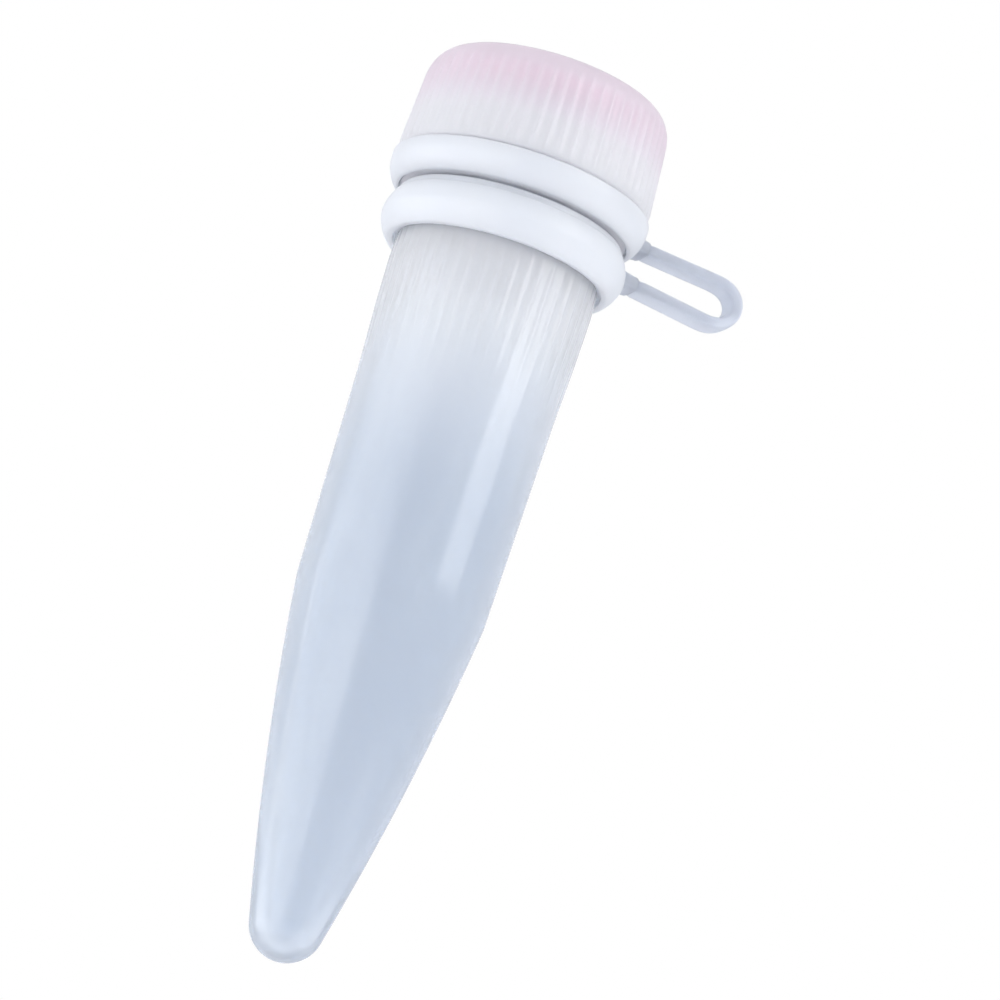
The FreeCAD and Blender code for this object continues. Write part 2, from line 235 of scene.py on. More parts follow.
# %% Relief formulas
THREAD_BASE = 1.1 * MM
THREAD_CREST = 0.55 * MM
THREAD_DEPTH = 0.4 * MM
THREAD_PITCH = 2.0 * MM
THREAD_START = 3.5 * MM
THREAD_FADE = 0.08  # of a turn
TUBE_TURNS = 1.87
CAP_TURNS = TUBE_TURNS - 0.5  # it starts half a turn higher and ends level
RIB_VALLEY = 0.25  # how much of the wave's lower half is left between two ribs
RIB_POINT = 1.3


def ribs(heights, angles, count, low, high, rise, fade_low, fade_high):
    """Rounded upright ribs between two heights, with their own run-out at each end."""
    wave = np.maximum(np.cos(angles * count), -RIB_VALLEY) + RIB_VALLEY
    wave = (wave / (1 + RIB_VALLEY)) ** RIB_POINT
    ends = ease((heights - low) / fade_low) * ease((high - heights) / fade_high)
    return rise * wave * ends


def thread(heights, angles, start, pitch, turns, depth):
    """A right-handed ridge with sloping flanks that fades in and out at its two ends."""
    total = np.zeros(np.broadcast(heights, angles).shape)
    for lap in range(math.ceil(turns) + 1):
        along = angles / (2 * math.pi) + lap
        off = np.abs(heights - (start + pitch * along))
        flank = ease((THREAD_BASE / 2 - off) / ((THREAD_BASE - THREAD_CREST) / 2))
        ends = ease(along / THREAD_FADE) * ease((turns - along) / THREAD_FADE)
        total = np.maximum(total, depth * flank * ends)
    return total


print("thread: %.2f turns on the neck" % TUBE_TURNS)

# %% [markdown]
# ## The tube
#
# One long skin: up the outside from the tip, over the rim and down the bore. The cone bulges
# slightly, which an arc of 150 mm gives, and the wall above it tapers by about a degree so that
# the moulding leaves its core. The outline is finer where there are ribs and thread.

# %% Tube
WALL = 0.85 * MM
TIP_ROUND = 1.85 * MM
CONE_TOP = 18.6 * MM
CONE_CURVE = 150 * MM
CONE_RADIUS = 4.75 * MM
WALL_TOP = 5.15 * MM
RING_TRACK = 4.75 * MM
BEAD = 4.95 * MM
NECK_ROOT = 4.55 * MM
NECK_BORE = 3.75 * MM
FLOOR = 1.2 * MM
FLOOR_ROUND = 0.8 * MM
TIP_LEAN = 0.792  # the round tip ends at this height, as a share of its radius
PIT_LEAN = 0.826
TUBE_RIBS = 48
TUBE_RIB_RISE = 0.07 * MM
TUBE_RIB_FADE = 4.5 * MM
TUBE_RIB_HEAD = 0.15 * MM
PARTING_LINE = 0.06 * MM  # the faint ring that the mould leaves above the ribs
PARTING_DROP = 0.72 * MM
PARTING_WIDTH = 0.11 * MM
TUBE_AROUND = 432
tip = tube_low.z
rim = tube_high.z
shoulder = 0.25 * MM
LIP_HEIGHT = 0.35 * MM
ring_top = collar_high.z - LIP_HEIGHT
rib_top = -0.85 * MM
rib_foot = -7.35 * MM


def cup(bottom, radius, rise, steps=14):
    """A round tip from the axis up to where its side leans as much as the cone."""
    centre = bottom + radius
    last = math.asin((rise - radius) / radius)
    sweep = math.pi / 2 + last
    return [
        Vector((radius * math.sin(sweep * k / steps), centre - radius * math.cos(sweep * k / steps)))
        for k in range(steps + 1)
    ]


def tube_outline():
    foot = cup(tip, TIP_ROUND, TIP_ROUND * TIP_LEAN)
    knee = Vector((CONE_RADIUS, tip + CONE_TOP))
    outside = rounded([
        (knee.x, knee.y, 0),
        (WALL_TOP, shoulder, 0.12 * MM),
        (RING_TRACK, shoulder, 0.05 * MM),
        (RING_TRACK, ring_top + 0.08 * MM, 0.05 * MM),
        (BEAD, ring_top + 0.08 * MM, 0.08 * MM),
        (BEAD, ring_top + 0.3 * MM, 0.1 * MM),
        (NECK_ROOT, ring_top + 0.5 * MM, 0.1 * MM),
        (NECK_ROOT, rim, 0.18 * MM),
        (NECK_BORE, rim, 0.2 * MM),
        (NECK_BORE, shoulder, 1.5 * MM),
        (WALL_TOP - WALL, -0.85 * MM, 1.5 * MM),
        (CONE_RADIUS - WALL, knee.y, 0),
    ])
    cone = arc(foot[-1], knee, CONE_CURVE)
    pit = cup(tip + FLOOR, FLOOR_ROUND, FLOOR_ROUND * PIT_LEAN)
    inner_cone = arc(pit[-1], outside[-1], CONE_CURVE)
    return foot + cone + outside + inner_cone[::-1] + pit[::-1]


def tube_step(radius, height):
    if height > ring_top and radius > NECK_BORE + 0.1 * MM:
        return 0.09 * MM
    if rib_foot - 0.5 * MM < height < 0 and radius > WALL_TOP - WALL / 2:
        return 0.25 * MM
    return 1.2 * MM


def tube_relief(radii, heights, angles):
    outer = radii > NECK_ROOT - 0.02 * MM
    wall = outer & (heights < 0)
    neck = outer & (heights > ring_top)
    grip = ribs(
        heights, angles, TUBE_RIBS, rib_foot, rib_top, TUBE_RIB_RISE, TUBE_RIB_FADE, TUBE_RIB_HEAD
    )
    line = PARTING_LINE * np.exp(-(((heights + PARTING_DROP) / PARTING_WIDTH) ** 2))
    screw = thread(heights, angles, THREAD_START, THREAD_PITCH, TUBE_TURNS, THREAD_DEPTH)
    return wall * (grip + line) + neck * screw


tube = lathe("tube_skin", spaced(tube_outline(), tube_step), TUBE_AROUND, tube_relief)

# %% [markdown]
# ## The cap
#
# The cap is one skin as well: the foot that the strap's ring turns on, the ribbed side, the
# soft shoulder, the shallow dish with the mark of the mould's gate, and inside it the thread
# and the short plug that goes into the tube's mouth. Its 60 finger ribs fade out before the
# shoulder.

# %% Cap
SPIGOT = 5.6 * MM
SPIGOT_BEAD = 5.8 * MM
CAP_BORE = 5.05 * MM
SIDE_LOW = 6.4 * MM
SIDE_HIGH = 6.05 * MM
SHOULDER_ROUND = 1.45 * MM
DISH = 3.8 * MM
DISH_DEPTH = 0.25 * MM
GATE_TOP = 0.14 * MM  # below the cap's top
PLUG = 3.5 * MM
PLUG_WALL = 0.8 * MM
PLUG_LENGTH = 1.6 * MM
ROOF = 0.85 * MM
ROOF_HOLLOW = 0.2 * MM
CAP_RIBS = 60
CAP_RIB_RISE = 0.1 * MM
CAP_RIB_FOOT = 0.15 * MM  # above the side's foot
CAP_RIB_HEAD = 0.5 * MM  # below the cap's top
CAP_RIB_FADE_LOW = 0.35 * MM
CAP_RIB_FADE_HIGH = 1.0 * MM
CAP_AROUND = 480
cap_foot = cap_low.z
cap_top = cap_high.z
side_foot = crown_high.z + 0.08 * MM
roof = cap_top - ROOF
plug_end = roof - PLUG_LENGTH


def cap_outline():
    return rounded([
        (CAP_BORE, cap_foot, 0.1 * MM),
        (SPIGOT, cap_foot, 0.05 * MM),
        (SPIGOT_BEAD, cap_foot + 0.1 * MM, 0.06 * MM),
        (SPIGOT_BEAD, cap_foot + 0.2 * MM, 0.06 * MM),
        (SPIGOT, cap_foot + 0.4 * MM, 0.1 * MM),
        (SPIGOT, side_foot, 0.05 * MM),
        (SIDE_LOW, side_foot, 0.15 * MM),
        (SIDE_HIGH, cap_top, SHOULDER_ROUND),
        (DISH, cap_top, 0.15 * MM),
        (DISH - 0.3 * MM, cap_top - DISH_DEPTH, 0.2 * MM),
        (0.75 * MM, cap_top - DISH_DEPTH, 0.05 * MM),
        (0.65 * MM, cap_top - GATE_TOP, 0.05 * MM),
        (0, cap_top - GATE_TOP, 0),
    ])


def cap_inside():
    return rounded([
        (0, roof - ROOF_HOLLOW, 0),
        (PLUG - PLUG_WALL, roof - ROOF_HOLLOW, 0.15 * MM),
        (PLUG - PLUG_WALL, plug_end, 0.1 * MM),
        (PLUG, plug_end, 0.18 * MM),
        (PLUG, roof, 0.15 * MM),
        (CAP_BORE, roof, 0.3 * MM),
        (CAP_BORE, cap_foot, 0.1 * MM),
    ])


def cap_step(radius, height):
    if radius > SPIGOT + 0.1 * MM and side_foot < height < cap_top - 0.3 * MM:
        return 0.2 * MM
    if CAP_BORE - 0.05 * MM < radius < SPIGOT - 0.1 * MM and height < roof:
        return 0.09 * MM
    return 0.8 * MM


def cap_relief(radii, heights, angles):
    side = (radii > SPIGOT_BEAD + 0.05 * MM) & (heights > side_foot)
    low = side_foot + CAP_RIB_FOOT
    high = cap_top - CAP_RIB_HEAD
    grip = ribs(
        heights, angles, CAP_RIBS, low, high, CAP_RIB_RISE, CAP_RIB_FADE_LOW, CAP_RIB_FADE_HIGH
    )
    bore = (np.abs(radii - CAP_BORE) < 0.02 * MM) & (heights < roof - 0.3 * MM)
    start = THREAD_START + THREAD_PITCH / 2
    screw = thread(heights, angles, start, THREAD_PITCH, CAP_TURNS, THREAD_DEPTH)
    return side * grip - bore * screw


cap_line = cap_outline()[1:] + cap_inside()
cap_line = spaced([*cap_line, cap_line[0]], cap_step)[:-1]
cap = lathe("cap_skin", cap_line, CAP_AROUND, cap_relief, closed=True)

# %% [markdown]
# ## The sealing ring and the two snap rings
#
# A silicone ring of about 1 mm section lies between the rim and the cap's roof. The neck ring
# has a fat rounded side, a flat underside that rests on a rack, and a low lip on top that the
# cap's foot stands over; the cap ring is slimmer. All three are closed outlines through the same
# lathe.

# %% Sealing ring
SEAL_STEPS = 28  # round its section
SEAL_AROUND = 160
RING_AROUND = 256
seal_section = (seal_high.z - seal_low.z) / 2
seal_mean = seal_high.x - seal_section
seal_middle = (seal_high.z + seal_low.z) / 2
seal_line = [
    Vector((
        seal_mean + seal_section * math.cos(2 * math.pi * k / SEAL_STEPS),
        seal_middle + seal_section * math.sin(2 * math.pi * k / SEAL_STEPS),
    ))
    for k in range(SEAL_STEPS)
]
seal = lathe("sealing_ring", seal_line, SEAL_AROUND, closed=True)

# %% Neck ring
collar_radius = collar_high.y
FACE_IN = 5.35 * MM
FACE_OUT = 5.7 * MM
COLLAR_TOP = 5.88 * MM
COLLAR_BORE = 4.83 * MM
COLLAR_CURVE = 1.9 * MM
LIP_OUT = 5.73 * MM
LIP_BORE = 5.03 * MM
seat = shoulder + 0.08 * MM
belly = ring_top / 2

collar_line = (
    [Vector((FACE_OUT, 0))]
    + arc((FACE_OUT, 0), (collar_radius, belly), COLLAR_CURVE, 8)
    + [Vector((collar_radius, belly))]
    + arc((collar_radius, belly), (COLLAR_TOP, ring_top), COLLAR_CURVE, 8)
    + rounded([
        (COLLAR_TOP + 0.05 * MM, ring_top - 0.05 * MM, 0),
        (COLLAR_TOP, ring_top, 0.06 * MM),
        (LIP_OUT, ring_top, 0.04 * MM),
        (LIP_OUT, collar_high.z, 0.1 * MM),
        (LIP_BORE, collar_high.z, 0.05 * MM),
        (LIP_BORE, ring_top, 0.02 * MM),
        (COLLAR_BORE, ring_top, 0.06 * MM),
        (COLLAR_BORE, seat, 0.05 * MM),
        (FACE_IN, seat, 0.05 * MM),
        (FACE_IN, 0, 0.05 * MM),
        (FACE_OUT - 0.1 * MM, 0, 0),
    ])
)
collar = lathe("neck_collar", collar_line, RING_AROUND, closed=True)

# %% Cap ring
crown_radius = crown_high.y
CROWN_BORE = 5.68 * MM
CROWN_BEAD = 5.88 * MM
crown_foot = crown_low.z
crown_top = crown_high.z
ROUND_DEPTH = 0.6 * MM
ROUND_HEIGHT = 1.2 * MM

crown_edge = Vector((crown_radius, crown_foot + ROUND_HEIGHT))
crown_start = Vector((crown_radius - ROUND_DEPTH, crown_foot))
chord = crown_edge - crown_start
crown_curve = chord.length_squared / 2 / ROUND_DEPTH
crown_line = (
    [crown_start]
    + arc(crown_start, crown_edge, crown_curve, 12)
    + rounded([
        (crown_edge.x, crown_edge.y, 0),
        (crown_radius, crown_top, 0.12 * MM),
        (CROWN_BORE, crown_top, 0.06 * MM),
        (CROWN_BORE, crown_foot + 0.48 * MM, 0.06 * MM),
        (CROWN_BEAD, crown_foot + 0.28 * MM, 0.06 * MM),
        (CROWN_BEAD, crown_foot, 0.03 * MM),
    ])
)
crown = lathe("cap_collar", crown_line, RING_AROUND, closed=True)

# %% [markdown]
# ## The strap
#
# The strap is a flat band with soft edges that leaves the neck ring, turns back in a loop and
# ends on the cap ring. It could be a curve with a bevel, but a curve can't change its section
# along the way, and this band narrows where it enters its two stubs. So a rounded section is
# swept along the loop by hand. The loop follows the two hinge points of the CAD strap and
# is then smoothed, because soft plastic has no corners.

# %% Loop path
STRAP_THICK = 0.65 * MM
HIGH_ROOT_RISE = 1.07 * MM  # above the foot of the cap ring
SUNK = 0.3 * MM  # length of each end inside its stub
PATH_STEP = 0.1 * MM
TURN_POINTS = 25
SOFTENING = 24  # rounds of smoothing
strap_width = arm_high.y - arm_low.y
loop_round = bend.z - arm_low.z - STRAP_THICK / 2
high_root = Vector((root.x, 0, crown_low.z + HIGH_ROOT_RISE))


def loop_path():
    centre = Vector((bend.x - loop_round, 0, bend.z))
    turn = [
        centre + Vector((math.sin(a), 0, -math.cos(a))) * loop_round
        for a in np.linspace(0, math.pi, TURN_POINTS)
    ]
    inward = Vector((SUNK, 0, 0))
    rough = [root - inward, root, *turn, high_root, high_root - inward]
    line = [rough[0]]
    for a, b in zip(rough, rough[1:]):
        pieces = max(1, round((b - a).length / PATH_STEP))
        line += [a.lerp(b, (k + 1) / pieces) for k in range(pieces)]
    line = np.array(line)
    for _ in range(SOFTENING):
        line[1:-1] = (line[:-2] + 2 * line[1:-1] + line[2:]) / 4
    return line


# %% Sweep
SECTION_POINTS = 32
SECTION_CORNER = 0.45  # 1 would be an ellipse, 0 a sharp rectangle


def section(width, thick):
    """A rounded rectangle, as (across, out) pairs, by a superellipse."""
    pairs = []
    for k in range(SECTION_POINTS):
        a = 2 * math.pi * k / SECTION_POINTS
        c, s = math.cos(a), math.sin(a)
        across = math.copysign(abs(c) ** SECTION_CORNER, c) * width / 2
        out = math.copysign(abs(s) ** SECTION_CORNER, s) * thick / 2
        pairs.append((across, out))
    return pairs


def sweep(name, line, sizes):
    """Closed tube of the section along a line in the XZ plane. sizes(s) gives width and
    thickness at a share s of the way."""
    verts, faces = [], []
    ahead = np.gradient(line, axis=0)
    ahead /= np.linalg.norm(ahead, axis=1)[:, None]
    count = SECTION_POINTS
    for i, (place, way) in enumerate(zip(line, ahead)):
        width, thick = sizes(i / (len(line) - 1))
        out = Vector((way[2], 0, -way[0]))
        for across, off in section(width, thick):
            verts.append(Vector(place) + Vector((0, across, 0)) + out * off)
    for i in range(len(line) - 1):
        for k in range(count):
            after = (k + 1) % count
            a, b = i * count, (i + 1) * count
            faces.append((a + k, a + after, b + after, b + k))
    last = (len(line) - 1) * count
    faces.append(tuple(range(count))[::-1])
    faces.append(tuple(range(last, last + count)))
    mesh = bpy.data.meshes.new(name)
    mesh.from_pydata(verts, [], faces)
    mesh.update()
    piece = bpy.data.objects.new(name, mesh)
    bpy.context.scene.collection.objects.link(piece)
    finish_skin(piece)
    return piece


END_SHARE = 0.045  # of the strap's length, at each end
END_NARROWER = 0.12
END_THINNER = 0.2


def strap_sizes(share):
    """The band narrows a little where it is sunk into its two stubs."""
    end = ease((END_SHARE - min(share, 1 - share)) / END_SHARE)
    return strap_width * (1 - END_NARROWER * end), STRAP_THICK * (1 - END_THINNER * end)


strap = sweep("strap_loop", loop_path(), strap_sizes)

# %% [markdown]
# Each end of the strap grows out of its ring through a short stub. The stub stays with the
# ring, and the strap's narrowed end sits inside it.

# %% Stubs
STUB_ROOTED = 0.45 * MM  # inside its ring
STUB_PAST = 0.12 * MM  # beyond the strap's root
STUB_POINTS = 25
STUB_WIDER = 1.08  # than the strap
STUB_THICKER = 1.15
STUB_FLARE = 0.7
STUB_THICK = 0.8 * MM  # at its ring
TIP_FROM = 0.72  # share of the stub's length where its tip starts to round
TIP_OVER = 0.3
TIP_LEAST = 1e-4  # keeps the last section open


def stub(name, ring_radius, height):
    start = ring_radius - STUB_ROOTED
    end = root.x + STUB_PAST
    line = np.array([(x, 0, height) for x in np.linspace(start, end, STUB_POINTS)])

    def sizes(share):
        tip_round = math.sqrt(max(TIP_LEAST, 1 - ease((share - TIP_FROM) / TIP_OVER) ** 2))
        flare = (1 - share) ** 2
        width = strap_width * (STUB_WIDER + STUB_FLARE * flare) * (0.5 + 0.5 * tip_round)
        swell = (STUB_THICK - STRAP_THICK) * flare
        thick = (STRAP_THICK * STUB_THICKER + swell) * tip_round
        return width, thick

    return sweep(name, line, sizes)


collar_stub = stub("neck_stub", COLLAR_TOP + 0.25 * MM, root.z)
crown_stub = stub("cap_stub", crown_radius, high_root.z)

# %% [markdown]
# ## Plastic with a moulded look
#
# Thin polypropylene is never perfectly clear. Two effects are shared by all the finishes, so
# they are node groups: a haze that clouds the colour in soft patches and flow lines, and above a
# given height blends it toward a paler colour, which is painted light that lifts the shade near
# the neck, and a fine skin that breaks up the gloss. A third group paints a pink glow on the cap
# where the seal would show through. The groups only put out colours, roughness and heights;
# each material keeps its own Principled shader.

# %% Node helpers
def new_group(name, inputs, outputs):
    group = bpy.data.node_groups.new(name, "ShaderNodeTree")
    for label, kind, value in inputs:
        socket = group.interface.new_socket(label, in_out="INPUT", socket_type=kind)
        socket.default_value = value
    for label, kind in outputs:
        group.interface.new_socket(label, in_out="OUTPUT", socket_type=kind)
    return group, group.nodes.new("NodeGroupInput"), group.nodes.new("NodeGroupOutput")


def node(tree, kind, **values):
    made = tree.nodes.new(kind)
    for key, value in values.items():
        if key in made.inputs:
            made.inputs[key].default_value = value
        else:
            setattr(made, key, value)
    return made


# %% Haze and painted light group
NO_PAINTED_LIGHT = 1.0  # a height far above the object, in metres, so that no painted light is blended in


def make_haze_and_light():
    group, given, out = new_group(
        "haze_and_painted_light",
        [
            ("Clear", "NodeSocketColor", (0.8, 0.85, 0.9, 1)),
            ("Cloudy", "NodeSocketColor", (0.9, 0.92, 0.95, 1)),
            ("Patch Scale", "NodeSocketFloat", 180.0),
            ("Flow Stretch", "NodeSocketFloat", 0.25),
            ("Painted Light", "NodeSocketColor", (0.9, 0.92, 0.95, 1)),
            ("Painted Light Foot", "NodeSocketFloat", NO_PAINTED_LIGHT),
            ("Painted Light Head", "NodeSocketFloat", NO_PAINTED_LIGHT + 1.0),
        ],
        [("Color", "NodeSocketColor")],
    )
    link = group.links.new
    place = node(group, "ShaderNodeTexCoord")
    stretch = node(group, "ShaderNodeCombineXYZ", X=1.0, Y=1.0)
    link(given.outputs["Flow Stretch"], stretch.inputs["Z"])
    scaled = node(group, "ShaderNodeVectorMath", operation="MULTIPLY")
    link(place.outputs["Object"], scaled.inputs[0])
    link(stretch.outputs["Vector"], scaled.inputs[1])
    cloud = node(group, "ShaderNodeTexNoise", Detail=4.0, Roughness=0.55)
    link(scaled.outputs["Vector"], cloud.inputs["Vector"])
    link(given.outputs["Patch Scale"], cloud.inputs["Scale"])
    soft = node(group, "ShaderNodeMapRange", interpolation_type="SMOOTHSTEP")
    soft.inputs["From Min"].default_value = 0.35
    soft.inputs["From Max"].default_value = 0.68
    link(cloud.outputs["Fac"], soft.inputs["Value"])
    mix = node(group, "ShaderNodeMix", data_type="RGBA")
    link(soft.outputs["Result"], mix.inputs[0])
    link(given.outputs["Clear"], mix.inputs[6])
    link(given.outputs["Cloudy"], mix.inputs[7])
    # Painted light: above a given height the colour blends toward a paler one, which lifts the shade
    # that the rings cast near the neck.
    height = node(group, "ShaderNodeSeparateXYZ")
    link(place.outputs["Object"], height.inputs["Vector"])
    rise = node(group, "ShaderNodeMapRange", interpolation_type="SMOOTHSTEP")
    link(height.outputs["Z"], rise.inputs["Value"])
    link(given.outputs["Painted Light Foot"], rise.inputs["From Min"])
    link(given.outputs["Painted Light Head"], rise.inputs["From Max"])
    milky = node(group, "ShaderNodeMix", data_type="RGBA")
    link(rise.outputs["Result"], milky.inputs[0])
    link(mix.outputs[2], milky.inputs[6])
    link(given.outputs["Painted Light"], milky.inputs[7])
    link(milky.outputs[2], out.inputs["Color"])
    return group


haze = make_haze_and_light()

# %% [markdown]
# The skin is one fine noise for the grain, which a Bump node reads, and one coarser noise that
# spreads the roughness. It could be a picture of scratches, but a formula has no seams and is
# set by a few numbers.

# %% Skin group
def make_skin():
    group, given, out = new_group(
        "moulded_skin",
        [
            ("Base Roughness", "NodeSocketFloat", 0.25),
            ("Roughness Spread", "NodeSocketFloat", 0.1),
            ("Grain Scale", "NodeSocketFloat", 2500.0),
        ],
        [("Roughness", "NodeSocketFloat"), ("Height", "NodeSocketFloat")],
    )
    link = group.links.new
    place = node(group, "ShaderNodeTexCoord")
    grain = node(group, "ShaderNodeTexNoise", Detail=3.0, Roughness=0.6)
    link(place.outputs["Object"], grain.inputs["Vector"])
    link(given.outputs["Grain Scale"], grain.inputs["Scale"])
    wear = node(group, "ShaderNodeTexNoise", Scale=420.0, Detail=5.0, Roughness=0.65)
    link(place.outputs["Object"], wear.inputs["Vector"])
    spread = node(group, "ShaderNodeMath", operation="MULTIPLY")
    link(wear.outputs["Fac"], spread.inputs[0])
    link(given.outputs["Roughness Spread"], spread.inputs[1])
    total = node(group, "ShaderNodeMath", operation="ADD")
    link(spread.outputs["Value"], total.inputs[0])
    link(given.outputs["Base Roughness"], total.inputs[1])
    link(total.outputs["Value"], out.inputs["Roughness"])
    link(grain.outputs["Fac"], out.inputs["Height"])
    return group


skin = make_skin()

# %% [markdown]
# The pink seal is only hinted at through the milky cap. Real light would have to cross the cap
# to show it. Here it is a tint instead: the distance from a point to the seal's own circle fades
# it out, so it is strongest on the wall beside the seal and gone in the middle of the top.

# %% Seal glow group
def make_glow():
    group, given, out = new_group(
        "seal_glow",
        [
            ("Plastic", "NodeSocketColor", (0.9, 0.9, 0.9, 1)),
            ("Glow", "NodeSocketColor", (0.9, 0.76, 0.83, 1)),
            ("Ring Radius", "NodeSocketFloat", 0.004),
            ("Ring Height", "NodeSocketFloat", 0.0),
            ("Near", "NodeSocketFloat", 0.001),
            ("Far", "NodeSocketFloat", 0.003),
        ],
        [("Color", "NodeSocketColor")],
    )
    link = group.links.new
    place = node(group, "ShaderNodeTexCoord")
    split = node(group, "ShaderNodeSeparateXYZ")
    link(place.outputs["Object"], split.inputs["Vector"])
    flat = node(group, "ShaderNodeCombineXYZ")
    link(split.outputs["X"], flat.inputs["X"])
    link(split.outputs["Y"], flat.inputs["Y"])
    radius = node(group, "ShaderNodeVectorMath", operation="LENGTH")
    link(flat.outputs["Vector"], radius.inputs[0])
    sideways = node(group, "ShaderNodeMath", operation="SUBTRACT")
    link(radius.outputs["Value"], sideways.inputs[0])
    link(given.outputs["Ring Radius"], sideways.inputs[1])
    upward = node(group, "ShaderNodeMath", operation="SUBTRACT")
    link(split.outputs["Z"], upward.inputs[0])
    link(given.outputs["Ring Height"], upward.inputs[1])
    offset = node(group, "ShaderNodeCombineXYZ")
    link(sideways.outputs["Value"], offset.inputs["X"])
    link(upward.outputs["Value"], offset.inputs["Y"])
    away = node(group, "ShaderNodeVectorMath", operation="LENGTH")
    link(offset.outputs["Vector"], away.inputs[0])
    fade = node(group, "ShaderNodeMapRange", interpolation_type="SMOOTHSTEP")
    fade.inputs["To Min"].default_value = 1.0
    fade.inputs["To Max"].default_value = 0.0
    link(away.outputs["Value"], fade.inputs["Value"])
    link(given.outputs["Near"], fade.inputs["From Min"])
    link(given.outputs["Far"], fade.inputs["From Max"])
    mix = node(group, "ShaderNodeMix", data_type="RGBA")
    link(fade.outputs["Result"], mix.inputs[0])
    link(given.outputs["Plastic"], mix.inputs[6])
    link(given.outputs["Glow"], mix.inputs[7])
    link(mix.outputs[2], out.inputs["Color"])
    return group


glow = make_glow()
print("node groups:", [made.name for made in bpy.data.node_groups])

# %% [markdown]
# ## Materials
#
# The tube is the clearest piece and the bluest where one looks through much plastic. The cap
# is milkier, the rings and the strap a softer plastic with a cooler cast, and the seal is pink
# silicone. Light passes through the plastics, so they use transmission, with subsurface
# scattering for the milky blur, and the seal lets none through. Only the tube is glossy: the
# others are satin.

# %% Plastic maker
GRAIN_DEPTH = 0.02 * MM


def plastic(name, clear, cloudy, rough, spread, transmission, scatter, depth, bump=0.02, ior=1.49):
    material = bpy.data.materials.new(name)
    material.use_nodes = True
    tree = material.node_tree
    shader = tree.nodes["Principled BSDF"]
    haze_plus_painted_light = node(tree, "ShaderNodeGroup", node_tree=haze, name="haze_plus_painted_light")
    haze_plus_painted_light.inputs["Clear"].default_value = (*clear, 1)
    haze_plus_painted_light.inputs["Cloudy"].default_value = (*cloudy, 1)
    face = node(tree, "ShaderNodeGroup", node_tree=skin)
    face.inputs["Base Roughness"].default_value = rough
    face.inputs["Roughness Spread"].default_value = spread
    dent = node(tree, "ShaderNodeBump", Strength=bump, Distance=GRAIN_DEPTH)
    link = tree.links.new
    link(haze_plus_painted_light.outputs["Color"], shader.inputs["Base Color"])
    link(face.outputs["Roughness"], shader.inputs["Roughness"])
    link(face.outputs["Height"], dent.inputs["Height"])
    link(dent.outputs["Normal"], shader.inputs["Normal"])
    shader.inputs["Transmission Weight"].default_value = transmission
    shader.inputs["IOR"].default_value = ior
    shader.inputs["Subsurface Weight"].default_value = scatter
    shader.inputs["Subsurface Radius"].default_value = (1.0, 1.0, 1.0)
    shader.inputs["Subsurface Scale"].default_value = depth
    return material


# %% The five finishes
tube_plastic = plastic(
    "clear_polypropylene", (0.68, 0.735, 0.805), (0.75, 0.80, 0.86),
    rough=0.09, spread=0.06, transmission=0.55, scatter=0.8, depth=1.2 * MM,
)
cap_plastic = plastic(
    "natural_polypropylene", (0.915, 0.93, 0.9575), (0.93, 0.9425, 0.965),
    rough=0.3, spread=0.1, transmission=0.45, scatter=0.8, depth=1.0 * MM,
)
ring_plastic = plastic(
    "milky_polyethylene", (0.87, 0.895, 0.9375), (0.89, 0.9125, 0.9475),
    rough=0.3, spread=0.1, transmission=0.4, scatter=0.8, depth=0.8 * MM,
)
strap_plastic = plastic(
    "soft_polyethylene", (0.74, 0.775, 0.845), (0.78, 0.815, 0.88),
    rough=0.3, spread=0.08, transmission=0.7, scatter=0.8, depth=0.6 * MM,
)
seal_rubber = plastic(
    "pink_silicone", (0.81, 0.54, 0.575), (0.85, 0.58, 0.61),
    rough=0.4, spread=0.15, transmission=0.0, scatter=0.3, depth=0.5 * MM, bump=0.1, ior=1.41,
)
print("finishes:", [m.name for m in bpy.data.materials])


# %% Painted light at the neck and painted glow at the seal
# Painted light: the tube's colour turns paler toward the neck, lifting the shade that the rings cast
# there.
PAINTED_LIGHT = (0.95, 0.965, 0.99, 1)
PAINTED_LIGHT_FOOT = -14 * MM
PAINTED_LIGHT_HEAD = 0.5 * MM
GLOW_NEAR = 1.2 * MM
GLOW_FAR = 3.4 * MM
GLOW = (0.88, 0.74, 0.81, 1)

tube_haze_plus_painted_light = tube_plastic.node_tree.nodes["haze_plus_painted_light"]
tube_haze_plus_painted_light.inputs["Painted Light"].default_value = PAINTED_LIGHT
tube_haze_plus_painted_light.inputs["Painted Light Foot"].default_value = PAINTED_LIGHT_FOOT
tube_haze_plus_painted_light.inputs["Painted Light Head"].default_value = PAINTED_LIGHT_HEAD


def show_seal(material):
    """A painted glow: the seal's colour as if it showed through the cap, most where the wall is close
    to it.
    """
    tree = material.node_tree
    shader = tree.nodes["Principled BSDF"]
    plain = shader.inputs["Base Color"].links[0].from_socket
    tint = node(tree, "ShaderNodeGroup", node_tree=glow)
    tint.inputs["Glow"].default_value = GLOW
    tint.inputs["Ring Radius"].default_value = seal_mean
    tint.inputs["Ring Height"].default_value = seal_middle
    tint.inputs["Near"].default_value = GLOW_NEAR
    tint.inputs["Far"].default_value = GLOW_FAR
    tree.links.new(plain, tint.inputs["Plastic"])
    tree.links.new(tint.outputs["Color"], shader.inputs["Base Color"])


show_seal(cap_plastic)
print("painted light up to %.1f mm, glow within %.1f mm" % (PAINTED_LIGHT_HEAD / MM, GLOW_FAR / MM))

# %% [markdown]
# ## Finish and body
#
# Each piece gets its material, and each but the strap rides on the body of the CAD node that
# it stands for. The strap crosses a joint and rides on no body: its transform is only baked into
# its mesh.

# %% Dress the pieces
def dress(piece, material, body, slot, *nodes):
    """Material, body, slot (not used) and the CAD nodes that the piece stands for."""
    piece.data.materials.clear()
    piece.data.materials.append(material)
    if body:
        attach(piece, body)
    if nodes:
        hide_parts(*nodes)


